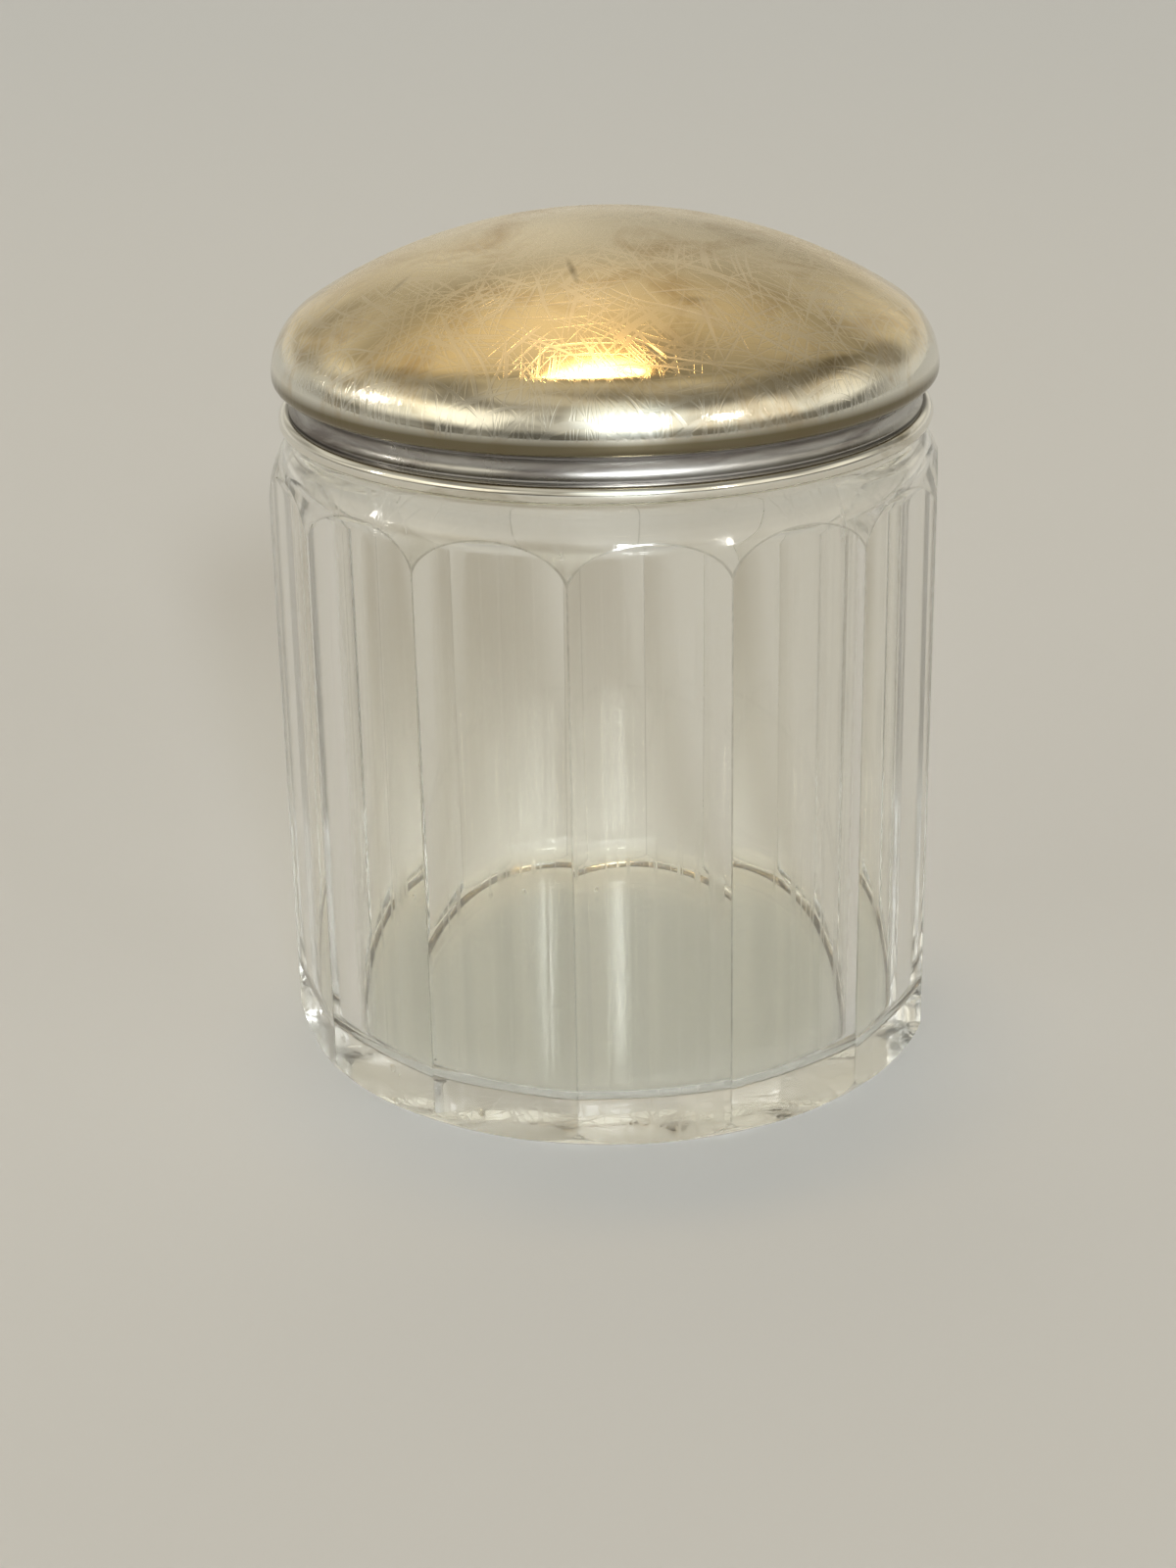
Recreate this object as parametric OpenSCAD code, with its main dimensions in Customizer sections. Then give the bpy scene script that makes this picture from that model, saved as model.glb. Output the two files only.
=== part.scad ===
// Dresser jar: a faceted clear glass jar with a domed silver lift-off lid.
// Millimetres, +Z up, origin at the centre of the face the jar stands on.

/* [Glass jar] */
// Width of the glass over two opposite ridges
body_width = 78; // [60:0.5:110]
// Number of flat panels cut round the glass
panel_count = 14; // [8:1:20]
// Height of the flat ledge that the lid stands on
ledge_height = 74.3; // [50:0.1:120]
// Radius of the curve that draws the shoulder in
shoulder_radius = 13; // [4:0.5:15]
// Lean of the shoulder from upright where it meets the ledge, in degrees
shoulder_lean = 30; // [10:1:40]
// How far below the ledge the shoulder starts to curve in
shoulder_drop = 8.8; // [5:0.1:14]
// Rounding between the shoulder and the ledge
ledge_rounding = 1.5; // [0.3:0.1:2.5]
// Radius of the curve at the foot of the glass
heel_radius = 3.1; // [2.5:0.1:6]
// Height at which the foot starts to curve in
heel_height = 2.4; // [0.5:0.1:2.5]
// How far the neck stands in from the ridges of the body
neck_inset = 5.4; // [4:0.1:12]
// Height of the neck above the ledge
neck_height = 8.2; // [4:0.1:12]
// Ground chamfer round the outside of the mouth
mouth_chamfer = 0.4; // [0.1:0.1:1]
// Thickness of the neck round the mouth
neck_wall = 3.1; // [1.5:0.1:6]
// Thickness of the wall at the middle of a panel
wall_thickness = 3.7; // [2:0.1:8]
// Thickness of the floor
floor_thickness = 3.8; // [2:0.1:12]
// Rounding between the floor and the wall of the hollow
floor_fillet = 3; // [0.5:0.1:8]
// Height over which the hollow narrows to the mouth
throat_height = 6; // [1:0.1:15]

/* [Lid] */
// How far the dome stands out over the waist's upper edge
dome_overhang = 1.75; // [0.5:0.05:3]
// Height of the crown above the widest part of the dome
dome_rise = 16.7; // [8:0.1:30]
// Radius of the dome's turned shoulder
dome_shoulder_radius = 8; // [3:0.1:16]
// Thickness of the silver sheet
sheet_thickness = 0.5; // [0.3:0.05:1]
// Radius of the hem rolled under round the edge of the dome
hem_radius = 1; // [0.5:0.05:2]
// Radius of the rim wire
rim_wire_radius = 1.1; // [0.5:0.05:2]
// Depth of the flat filed on the rim wire where it sits on the skirt
wire_flat_depth = 0.49; // [0.1:0.01:0.6]
// Radius of the hollow curve round the waist
waist_curve_radius = 1.4; // [1:0.05:4]
// How far the waist curves out again at its two edges, in degrees
waist_flare_angle = 55; // [50:1:85]
// Narrow gap left between the waist and the dome
seam_gap = 0.22; // [0.05:0.01:0.6]
// Gap between the inner sleeve and the skirt behind the rim wire
sleeve_gap = 1.01; // [0.3:0.01:4]
// Height of the inner sleeve
sleeve_height = 7.4; // [3:0.1:12]

/* [Fit] */
// Radial clearance between the sleeve and the neck
neck_clearance = 0.08; // [0.02:0.01:0.3]
// Gap under the lid where it stands on the ledge
seat_clearance = 0.05; // [0.01:0.01:0.3]

/* [View] */
// Piece to show

/* [Hidden] */
$fn = 180;

body_radius = body_width / 2;
half_panel_angle = 180 / panel_count;
shoulder_start = ledge_height - shoulder_drop;
shoulder_centre = body_radius - shoulder_radius;
ledge_edge_height = ledge_height - ledge_rounding;
ledge_edge_centre = shoulder_centre
    + (shoulder_radius - ledge_rounding) / cos(shoulder_lean)
    - (ledge_edge_height - shoulder_start) * tan(shoulder_lean);
heel_centre = body_radius - heel_radius;
heel_angle = asin(heel_height / heel_radius);
neck_radius = body_radius - neck_inset;
neck_top = ledge_height + neck_height;
mouth_radius = neck_radius - neck_wall;
hollow_radius = body_radius * cos(half_panel_angle) - wall_thickness;

lid_base = ledge_height + seat_clearance;
sleeve_inner_radius = neck_radius + neck_clearance;
sleeve_outer_radius = sleeve_inner_radius + sheet_thickness;
skirt_inner_radius = sleeve_outer_radius + sleeve_gap;
skirt_outer_radius = skirt_inner_radius + sheet_thickness;
rim_wire_height = lid_base + rim_wire_radius;
rim_wire_centre = skirt_outer_radius + rim_wire_radius - wire_flat_depth;
waist_base = rim_wire_height + rim_wire_radius;
waist_height = waist_base + waist_curve_radius;
waist_top = waist_height + waist_curve_radius;
waist_back_radius = waist_curve_radius + sheet_thickness;
waist_face_inner = skirt_outer_radius;
waist_curve_centre = waist_face_inner
    + sqrt(pow(waist_back_radius, 2) - pow(waist_curve_radius, 2));
waist_face_outer = waist_curve_centre - waist_curve_radius * cos(waist_flare_angle);
dome_base = waist_top;
dome_edge_height = dome_base + seam_gap + hem_radius;
dome_radius = waist_face_outer + dome_overhang;
hem_centre = dome_radius - hem_radius;
dome_shoulder_centre = dome_radius - dome_shoulder_radius;
crown_radius = (pow(dome_shoulder_centre, 2) + pow(dome_rise, 2)
    - pow(dome_shoulder_radius, 2)) / (2 * (dome_rise - dome_shoulder_radius));
crown_centre = dome_edge_height + dome_rise - crown_radius;
crown_angle = atan2(dome_edge_height - crown_centre, dome_shoulder_centre);
plate_base = dome_edge_height - sheet_thickness / 2;
plate_top = dome_edge_height + sheet_thickness / 2;

// Points along an arc, from one angle to another
function arc(centre_x, centre_z, radius, from, to, steps) = [
    for (i = [0 : steps])
        let (angle = from + (to - from) * i / steps)
            [centre_x + radius * cos(angle), centre_z + radius * sin(angle)]
];

// The glass before its panels are cut: shoulder, straight side and foot
module glass_blank() {
    rotate_extrude()
        polygon(concat(
            [[0, 0]],
            arc(heel_centre, heel_height, heel_radius, -heel_angle, 0, 6),
            arc(shoulder_centre, shoulder_start, shoulder_radius, 0, shoulder_lean, 8),
            arc(ledge_edge_centre, ledge_edge_height, ledge_rounding, shoulder_lean, 90, 6),
            [[0, ledge_height]]
        ));
}

// The flat panels, with one ridge facing the front
module panel_prism() {
    linear_extrude(height = ledge_height)
        polygon([
            for (i = [0 : panel_count - 1])
                let (angle = 2 * half_panel_angle * i)
                    [body_radius * sin(angle), -body_radius * cos(angle)]
        ]);
}

module neck() {
    rotate_extrude()
        polygon([
            [0, ledge_height - ledge_rounding],
            [neck_radius, ledge_height - ledge_rounding],
            [neck_radius, neck_top - mouth_chamfer],
            [neck_radius - mouth_chamfer, neck_top],
            [0, neck_top]
        ]);
}

// The round hollow, drawn in under the shoulder to the mouth
module hollow() {
    throat_steps = 10;
    rotate_extrude()
        polygon(concat(
            [[0, floor_thickness]],
            arc(hollow_radius - floor_fillet, floor_thickness + floor_fillet,
                floor_fillet, -90, 0, 8),
            [
                for (i = [0 : throat_steps])
                    let (share = i / throat_steps)
                        [
                            (hollow_radius + mouth_radius) / 2
                                + (hollow_radius - mouth_radius) / 2 * cos(180 * share),
                            ledge_height - throat_height * (1 - share)
                        ]
            ],
            [[mouth_radius, neck_top + 1], [0, neck_top + 1]]
        ));
}

module glass_jar() {
    color("#dde5df", 0.35)
        difference() {
            union() {
                intersection() {
                    glass_blank();
                    panel_prism();
                }
                neck();
            }
            hollow();
        }
}

// Outline of the dome down to its widest place, drawn in by an inset
function dome_curve(inset) = concat(
    arc(dome_shoulder_centre, dome_edge_height, dome_shoulder_radius - inset,
        0, crown_angle, 12),
    arc(0, crown_centre, crown_radius - inset, crown_angle, 90, 16)
);

// Domed sheet with a rolled hem, turned under to a foot on the waist
module lid_dome() {
    inside = dome_curve(sheet_thickness);
    color("#b9b3a4")
        rotate_extrude() {
            polygon(concat(
                dome_curve(0),
                [for (i = [len(inside) - 1 : -1 : 0]) inside[i]]
            ));
            translate([hem_centre, dome_edge_height])
                circle(r = hem_radius);
            translate([waist_face_inner, plate_base])
                square([hem_centre - waist_face_inner, sheet_thickness]);
            translate([waist_face_inner, dome_base])
                square([sheet_thickness, plate_top - dome_base]);
        }
}

// Hollowed band between the rim wire and the dome, with a skirt inside the wire
module lid_waist() {
    color("#8f897f")
        rotate_extrude() {
            intersection() {
                difference() {
                    translate([waist_curve_centre, waist_height])
                        circle(r = waist_back_radius);
                    translate([waist_curve_centre, waist_height])
                        circle(r = waist_curve_radius);
                }
                translate([skirt_inner_radius, waist_base])
                    square([waist_face_outer - skirt_inner_radius, waist_top - waist_base]);
            }
            translate([skirt_inner_radius, rim_wire_height])
                square([sheet_thickness, rim_wire_radius + sheet_thickness]);
        }
}

module rim_wire() {
    color("#c8c2b2")
        rotate_extrude()
            difference() {
                translate([rim_wire_centre, rim_wire_height])
                    circle(r = rim_wire_radius);
                translate([0, lid_base])
                    square([skirt_outer_radius, 2 * rim_wire_radius]);
            }
}

// Straight sleeve that grips the neck, with a flange out to the skirt
module neck_sleeve() {
    color("#a39d90")
        rotate_extrude() {
            translate([sleeve_inner_radius, lid_base])
                square([sheet_thickness, sleeve_height]);
            translate([sleeve_inner_radius, rim_wire_height])
                square([skirt_inner_radius - sleeve_inner_radius, sheet_thickness]);
        }
}

glass_jar();
lid_dome();
lid_waist();
rim_wire();
neck_sleeve();
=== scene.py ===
# Dresser jar: a faceted clear glass jar with a domed silver lid that lifts straight off.
# Metres, +Z up, with a ridge between two glass panels facing -Y.
import math

import bpy
from mathutils import Matrix, Vector


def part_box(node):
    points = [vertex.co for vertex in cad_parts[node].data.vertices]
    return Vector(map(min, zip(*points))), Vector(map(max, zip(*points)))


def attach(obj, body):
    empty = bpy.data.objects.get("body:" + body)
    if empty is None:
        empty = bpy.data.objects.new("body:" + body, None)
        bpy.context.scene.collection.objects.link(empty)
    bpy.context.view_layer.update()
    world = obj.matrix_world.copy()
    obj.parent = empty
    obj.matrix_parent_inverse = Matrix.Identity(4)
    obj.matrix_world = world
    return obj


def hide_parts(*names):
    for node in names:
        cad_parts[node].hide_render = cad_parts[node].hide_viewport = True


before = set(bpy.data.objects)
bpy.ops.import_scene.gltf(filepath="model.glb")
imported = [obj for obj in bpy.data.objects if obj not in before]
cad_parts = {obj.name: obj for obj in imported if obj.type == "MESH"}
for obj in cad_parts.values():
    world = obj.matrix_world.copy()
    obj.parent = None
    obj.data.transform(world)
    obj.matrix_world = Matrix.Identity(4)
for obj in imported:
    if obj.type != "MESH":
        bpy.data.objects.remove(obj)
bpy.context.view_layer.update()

mm = 0.001
mergeReach = 0.002 * mm     # points of an outline nearer than this become one
cutOver = 1 * mm            # how far a cutting shape runs past what it cuts
lightTurns = 20             # light is turned back many times inside the thick foot
scene = bpy.context.scene
scene.view_settings.view_transform = "Standard"
scene.cycles.max_bounces = lightTurns
scene.cycles.transmission_bounces = lightTurns
scene.cycles.glossy_bounces = lightTurns

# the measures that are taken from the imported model
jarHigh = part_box("glass_jar")[1]
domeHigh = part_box("lid_dome")[1]
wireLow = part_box("rim_wire")[0]
print("frame loaded, jar", round(jarHigh.x / mm, 2), "mm to the side,",
      "dome top", round(domeHigh.z / mm, 2), "mm")


def arcPoints(centreX, centreZ, radius, fromAngle, toAngle, steps):
    points = []
    for step in range(steps + 1):
        angle = math.radians(fromAngle + (toAngle - fromAngle) * step / steps)
        points.append((centreX + radius * math.cos(angle), centreZ + radius * math.sin(angle)))
    return points


def deselectAll():
    if bpy.context.object and bpy.context.object.mode != "OBJECT":
        bpy.ops.object.mode_set(mode="OBJECT")
    bpy.ops.object.select_all(action="DESELECT")


def activate(piece):
    deselectAll()
    piece.select_set(True)
    bpy.context.view_layer.objects.active = piece


def turnOutline(name, outline, sides, closed=False):
    # an outline drawn point by point in the XZ plane, then spun round the middle of the lid
    deselectAll()
    bpy.ops.mesh.primitive_plane_add(size=1 * mm, location=(0, 0, 0))
    piece = bpy.context.object
    piece.name = name
    bpy.ops.object.mode_set(mode="EDIT")
    bpy.ops.mesh.select_mode(type="VERT")
    bpy.ops.mesh.select_all(action="SELECT")
    bpy.ops.mesh.merge(type="CENTER")
    bpy.ops.transform.translate(value=(outline[0][0], 0, outline[0][1]))
    points = outline + [outline[0]] if closed else outline
    for (fromX, fromZ), (toX, toZ) in zip(points, points[1:]):
        bpy.ops.mesh.extrude_region_move(
            TRANSFORM_OT_translate={"value": (toX - fromX, 0, toZ - fromZ)})
    bpy.ops.mesh.select_all(action="SELECT")
    bpy.ops.mesh.remove_doubles(threshold=mergeReach)
    bpy.ops.mesh.spin(steps=sides, angle=2 * math.pi, center=(0, 0, 0), axis=(0, 0, 1))
    bpy.ops.mesh.select_all(action="SELECT")
    bpy.ops.mesh.remove_doubles(threshold=mergeReach)
    bpy.ops.mesh.normals_make_consistent(inside=False)
    bpy.ops.object.mode_set(mode="OBJECT")
    bpy.ops.object.transform_apply(location=True, rotation=True, scale=True)
    return piece


def booleanWith(piece, tool, operation):
    activate(piece)
    cut = piece.modifiers.new(operation.title(), "BOOLEAN")
    cut.operation = operation
    cut.solver = "EXACT"
    cut.object = tool
    bpy.ops.object.modifier_apply(modifier=cut.name)
    bpy.data.objects.remove(tool)


def smoothBelow(piece, angle):
    activate(piece)
    bpy.ops.object.shade_smooth_by_angle(angle=math.radians(angle))


def finishPiece(piece, body, node, material):
    piece.data.materials.append(material)
    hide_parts(node)
    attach(piece, body)


cameraSetup = {
    "distance": 311.0 * mm,
    "height": 156.7 * mm,
    "turn": 6.31,          # degrees round the jar from the front ridge
    "pitch": 22.42,        # degrees down
    "yaw": -0.43,
    "roll": -1.04,
    "focalPixels": 2830,
    "frameHeightPixels": 1600,
    "shiftPixels": -4.1,
    "sensorHeight": 36,    # millimetres of film
    "clipStart": 10 * mm,
}


def makeCamera(setup):
    pitch, yaw, roll = (math.radians(setup[name]) for name in ("pitch", "yaw", "roll"))
    forward = Vector((math.sin(yaw) * math.cos(pitch), math.cos(yaw) * math.cos(pitch), -math.sin(pitch)))
    level = Vector((math.cos(yaw), -math.sin(yaw), 0))
    upward = level.cross(forward)
    right = math.cos(roll) * level + math.sin(roll) * upward
    up = -math.sin(roll) * level + math.cos(roll) * upward
    place = Matrix((right, up, -forward)).transposed().to_4x4()
    place.translation = Vector((0, -setup["distance"], setup["height"]))
    lens = bpy.data.cameras.new("camera")
    lens.sensor_fit = "VERTICAL"
    lens.sensor_height = setup["sensorHeight"]
    lens.lens = setup["sensorHeight"] * setup["focalPixels"] / setup["frameHeightPixels"]
    lens.shift_x = setup["shiftPixels"] / setup["frameHeightPixels"]
    lens.clip_start = setup["clipStart"]
    camera = bpy.data.objects.new("camera", lens)
    scene.collection.objects.link(camera)
    camera.matrix_world = Matrix.Rotation(math.radians(setup["turn"]), 4, "Z") @ place
    scene.camera = camera


makeCamera(cameraSetup)
print("camera placed")


glassJar = {
    "bodyRadius": 39.0 * mm,
    "panels": 14,
    "ledgeHeight": 74.3 * mm,
    "ridgeSoftness": 0.13 * mm,
    "shoulderRadius": 13.0 * mm,
    "shoulderLean": 30,
    "shoulderDrop": 8.8 * mm,
    "ledgeRounding": 1.5 * mm,
    "heelRadius": 3.1 * mm,
    "heelHeight": 2.4 * mm,
    "neckRadius": 33.6 * mm,
    "neckTop": 82.5 * mm,
    "mouthChamfer": 0.4 * mm,
    "mouthRadius": 30.5 * mm,
    "wallThickness": 3.7 * mm,
    "floorThickness": 3.8 * mm,
    "floorFillet": 3.0 * mm,
    "throatHeight": 6.0 * mm,
    "sides": 252,
    "heelSteps": 10,
    "shoulderSteps": 12,
    "ledgeSteps": 8,
    "ridgeSteps": 4,
    "filletSteps": 14,
    "throatSteps": 16,
    "mergeReach": 0.001 * mm,
    "smoothAngle": 11,
    "bubbleStretch": (1.0, 1.4, 0.9),
    "bubbleSides": 20,
    "bubbleRings": 12,
    "bubbles": (
        ((-20.4 * mm, 22.3 * mm, 2.1 * mm), 0.55 * mm),
        ((-11.6 * mm, 24.2 * mm, 2.2 * mm), 0.55 * mm),
        ((-20.0 * mm, -23.5 * mm, 1.9 * mm), 0.18 * mm),
    ),
}


def makeGlassBlank(jar):
    lean = math.radians(jar["shoulderLean"])
    shoulderStart = jar["ledgeHeight"] - jar["shoulderDrop"]
    shoulderCentre = jar["bodyRadius"] - jar["shoulderRadius"]
    edgeHeight = jar["ledgeHeight"] - jar["ledgeRounding"]
    edgeCentre = (shoulderCentre + (jar["shoulderRadius"] - jar["ledgeRounding"]) / math.cos(lean)
                  - (edgeHeight - shoulderStart) * math.tan(lean))
    heelCentre = jar["bodyRadius"] - jar["heelRadius"]
    heelAngle = math.degrees(math.asin(jar["heelHeight"] / jar["heelRadius"]))
    outline = [(0, 0)]
    outline += arcPoints(heelCentre, jar["heelHeight"], jar["heelRadius"], -heelAngle, 0,
                         jar["heelSteps"])
    outline += arcPoints(shoulderCentre, shoulderStart, jar["shoulderRadius"], 0, jar["shoulderLean"],
                         jar["shoulderSteps"])
    outline += arcPoints(edgeCentre, edgeHeight, jar["ledgeRounding"], jar["shoulderLean"], 90,
                         jar["ledgeSteps"])
    outline += [(0, jar["ledgeHeight"])]
    return turnOutline("glassBlank", outline, jar["sides"])


def makePanelPrism(jar):
    # a many-sided block, its upright edges softened as a polishing wheel leaves them
    deselectAll()
    bpy.ops.mesh.primitive_cylinder_add(
        vertices=jar["panels"], radius=jar["bodyRadius"], depth=jar["ledgeHeight"] + 2 * cutOver,
        location=(0, 0, jar["ledgeHeight"] / 2), rotation=(0, 0, math.pi))
    prism = bpy.context.object
    bpy.ops.object.transform_apply(location=True, rotation=True, scale=True)
    bpy.ops.object.mode_set(mode="EDIT")
    bpy.ops.mesh.select_mode(type="EDGE")
    bpy.ops.mesh.select_all(action="DESELECT")
    bpy.ops.object.mode_set(mode="OBJECT")
    for edge in prism.data.edges:
        low, high = (prism.data.vertices[index].co for index in edge.vertices)
        edge.select = abs(low.z - high.z) > jar["ledgeHeight"]
    bpy.ops.object.mode_set(mode="EDIT")
    bpy.ops.mesh.bevel(offset=jar["ridgeSoftness"], segments=jar["ridgeSteps"], profile=0.5,
                       affect="EDGES")
    bpy.ops.object.mode_set(mode="OBJECT")
    return prism


def makeNeck(jar):
    return turnOutline("neck", [
        (0, jar["ledgeHeight"] - jar["ledgeRounding"]),
        (jar["neckRadius"], jar["ledgeHeight"] - jar["ledgeRounding"]),
        (jar["neckRadius"], jar["neckTop"] - jar["mouthChamfer"]),
        (jar["neckRadius"] - jar["mouthChamfer"], jar["neckTop"]),
        (0, jar["neckTop"]),
    ], jar["sides"])


def makeHollow(jar):
    hollowRadius = jar["bodyRadius"] * math.cos(math.pi / jar["panels"]) - jar["wallThickness"]
    fillet, floor = jar["floorFillet"], jar["floorThickness"]
    outline = [(0, floor)]
    outline += arcPoints(hollowRadius - fillet, floor + fillet, fillet, -90, 0, jar["filletSteps"])
    middle = (hollowRadius + jar["mouthRadius"]) / 2
    reach = (hollowRadius - jar["mouthRadius"]) / 2
    for step in range(jar["throatSteps"] + 1):
        share = step / jar["throatSteps"]
        outline.append((middle + reach * math.cos(math.pi * share),
                        jar["ledgeHeight"] - jar["throatHeight"] * (1 - share)))
    outline += [(jar["mouthRadius"], jar["neckTop"] + cutOver), (0, jar["neckTop"] + cutOver)]
    return turnOutline("hollow", outline, jar["sides"])


def makeBubble(jar, place, radius):
    # a seed of trapped air, drawn out a little
    deselectAll()
    bpy.ops.mesh.primitive_uv_sphere_add(
        segments=jar["bubbleSides"], ring_count=jar["bubbleRings"], radius=radius, location=place)
    bpy.ops.transform.resize(value=jar["bubbleStretch"])
    bpy.ops.object.transform_apply(location=True, rotation=True, scale=True)
    return bpy.context.object


def makeGlassJar(jar):
    glass = makeGlassBlank(jar)
    booleanWith(glass, makePanelPrism(jar), "INTERSECT")
    booleanWith(glass, makeNeck(jar), "UNION")
    booleanWith(glass, makeHollow(jar), "DIFFERENCE")
    for place, radius in jar["bubbles"]:
        booleanWith(glass, makeBubble(jar, place, radius), "DIFFERENCE")
    glass.name = "glassJar"
    activate(glass)
    bpy.ops.object.mode_set(mode="EDIT")
    bpy.ops.mesh.select_all(action="SELECT")
    bpy.ops.mesh.remove_doubles(threshold=jar["mergeReach"])
    bpy.ops.object.mode_set(mode="OBJECT")
    smoothBelow(glass, jar["smoothAngle"])
    # the wide flat panels keep their own normals, so the turn happens on the narrow edges
    weighted = glass.modifiers.new("Weighted", "WEIGHTED_NORMAL")
    weighted.mode = "FACE_AREA"
    weighted.keep_sharp = True
    bpy.ops.object.modifier_apply(modifier=weighted.name)
    return glass


lid = {
    "sheet": 0.5 * mm,
    "domeRise": 16.7 * mm,
    "domeShoulderRadius": 8.0 * mm,
    "hemRadius": 1.0 * mm,
    "wireRadius": 1.1 * mm,
    "wireFlat": 0.49 * mm,
    "waistCurve": 1.4 * mm,
    "waistFlare": 55,
    "seamGap": 0.22 * mm,
    "neckClearance": 0.08 * mm,
    "sleeveGap": 1.01 * mm,
    "sleeveHeight": 7.4 * mm,
    "sides": 256,
    "shoulderSteps": 22,
    "crownSteps": 36,
    "hemSteps": 14,
    "waistFaceSteps": 28,
    "waistBackSteps": 22,
    "wireSteps": 36,
}
lid["base"] = wireLow.z
lid["sleeveInner"] = glassJar["neckRadius"] + lid["neckClearance"]
lid["skirtOuter"] = lid["sleeveInner"] + lid["sheet"] + lid["sleeveGap"] + lid["sheet"]
lid["wireHeight"] = lid["base"] + lid["wireRadius"]
lid["wireCentre"] = lid["skirtOuter"] + lid["wireRadius"] - lid["wireFlat"]
lid["waistBase"] = lid["wireHeight"] + lid["wireRadius"]
lid["waistHeight"] = lid["waistBase"] + lid["waistCurve"]
lid["waistTop"] = lid["waistHeight"] + lid["waistCurve"]
lid["waistBack"] = lid["waistCurve"] + lid["sheet"]
lid["waistCentre"] = lid["skirtOuter"] + math.sqrt(lid["waistBack"] ** 2 - lid["waistCurve"] ** 2)
lid["domeEdge"] = lid["waistTop"] + lid["seamGap"] + lid["hemRadius"]
lid["domeRadius"] = domeHigh.x


def domeCurve(size, inset):
    shoulderCentre = size["domeRadius"] - size["domeShoulderRadius"]
    crownRadius = ((shoulderCentre ** 2 + size["domeRise"] ** 2 - size["domeShoulderRadius"] ** 2)
                   / (2 * (size["domeRise"] - size["domeShoulderRadius"])))
    crownCentre = size["domeEdge"] + size["domeRise"] - crownRadius
    crownAngle = math.degrees(math.atan2(size["domeEdge"] - crownCentre, shoulderCentre))
    curve = arcPoints(shoulderCentre, size["domeEdge"], size["domeShoulderRadius"] - inset,
                      0, crownAngle, size["shoulderSteps"])
    curve += arcPoints(0, crownCentre, crownRadius - inset, crownAngle, 90, size["crownSteps"])[1:]
    curve[-1] = (0, curve[-1][1])
    return curve


def makeLidDome(size):
    # outer sheet, rolled hem, plate turned under, foot on the waist, then back up inside
    sheet, edge, hem = size["sheet"], size["domeEdge"], size["hemRadius"]
    hemCentre = size["domeRadius"] - hem
    outer = domeCurve(size, 0)
    inner = domeCurve(size, sheet)
    footInner = size["skirtOuter"]
    hemAngle = math.degrees(math.asin(sheet / 2 / hem))
    outline = list(reversed(outer))
    outline += arcPoints(hemCentre, edge, hem, 0, -180 + hemAngle, size["hemSteps"])[1:]
    outline += [
        (footInner + sheet, edge - sheet / 2),
        (footInner + sheet, size["waistTop"]),
        (footInner, size["waistTop"]),
        (footInner, edge + sheet / 2),
    ]
    outline += [point for point in inner if point[1] > edge + sheet / 2]
    return turnOutline("lidDome", outline, size["sides"])


def makeLidWaist(size):
    sheet, curve, back = size["sheet"], size["waistCurve"], size["waistBack"]
    centreX, centreZ = size["waistCentre"], size["waistHeight"]
    inner = size["skirtOuter"]
    faceTurn = size["waistFlare"]
    backTurn = math.degrees(math.asin(curve / back))
    outline = arcPoints(centreX, centreZ, curve, 180 - faceTurn, 180 + faceTurn,
                        size["waistFaceSteps"])
    lowFace = outline[-1]
    outline += [
        (lowFace[0], size["waistBase"]),
        (inner, size["waistBase"]),
        (inner, size["wireHeight"]),
        (inner - sheet, size["wireHeight"]),
        (inner - sheet, size["waistBase"] + sheet),
    ]
    backFace = arcPoints(centreX, centreZ, back, 180 + backTurn, 180 - backTurn, size["waistBackSteps"])
    outline += [point for point in backFace if point[1] > size["waistBase"] + sheet]
    outline += [(outline[0][0], size["waistTop"])]
    return turnOutline("lidWaist", outline, size["sides"], closed=True)


def makeRimWire(size):
    flat = math.degrees(math.acos((size["wireRadius"] - size["wireFlat"]) / size["wireRadius"]))
    outline = arcPoints(size["wireCentre"], size["wireHeight"], size["wireRadius"],
                        180 + flat, 540 - flat, size["wireSteps"])
    return turnOutline("rimWire", outline, size["sides"], closed=True)


def makeNeckSleeve(size):
    inner, sheet, base = size["sleeveInner"], size["sheet"], size["base"]
    outer, reach = inner + sheet, size["skirtOuter"] - sheet
    flange = size["wireHeight"]
    outline = [
        (inner, base), (outer, base), (outer, flange), (reach, flange),
        (reach, flange + sheet), (outer, flange + sheet),
        (outer, base + size["sleeveHeight"]), (inner, base + size["sleeveHeight"]),
    ]
    return turnOutline("neckSleeve", outline, size["sides"], closed=True)


def newSocket(group, name, kind, way, value=None):
    socket = group.interface.new_socket(name=name, in_out=way, socket_type=kind)
    if value is not None:
        socket.default_value = value
    return socket


def mathNode(tree, operation, first, second=None):
    # each input is a number or a socket
    node = tree.nodes.new("ShaderNodeMath")
    node.operation = operation
    for place, value in enumerate((first, second)):
        if value is None:
            continue
        if isinstance(value, (int, float)):
            node.inputs[place].default_value = value
        else:
            tree.links.new(value, node.inputs[place])
    return node.outputs[0]


def vectorNode(tree, operation, *values):
    # each value is a tuple of fixed numbers or a socket
    node = tree.nodes.new("ShaderNodeVectorMath")
    node.operation = operation
    for socket, value in zip(node.inputs, values):
        if isinstance(value, tuple):
            socket.default_value = value
        else:
            tree.links.new(value, socket)
    return node


def splitVector(tree, vector):
    node = tree.nodes.new("ShaderNodeSeparateXYZ")
    tree.links.new(vector, node.inputs[0])
    return tuple(node.outputs[name] for name in "XYZ")


def mapRange(tree, value, fromLow, fromHigh, toLow, toHigh):
    node = tree.nodes.new("ShaderNodeMapRange")
    node.clamp = True
    tree.links.new(value, node.inputs["Value"])
    for name, number in (("From Min", fromLow), ("From Max", fromHigh),
                         ("To Min", toLow), ("To Max", toHigh)):
        node.inputs[name].default_value = number
    return node.outputs["Result"]


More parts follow.
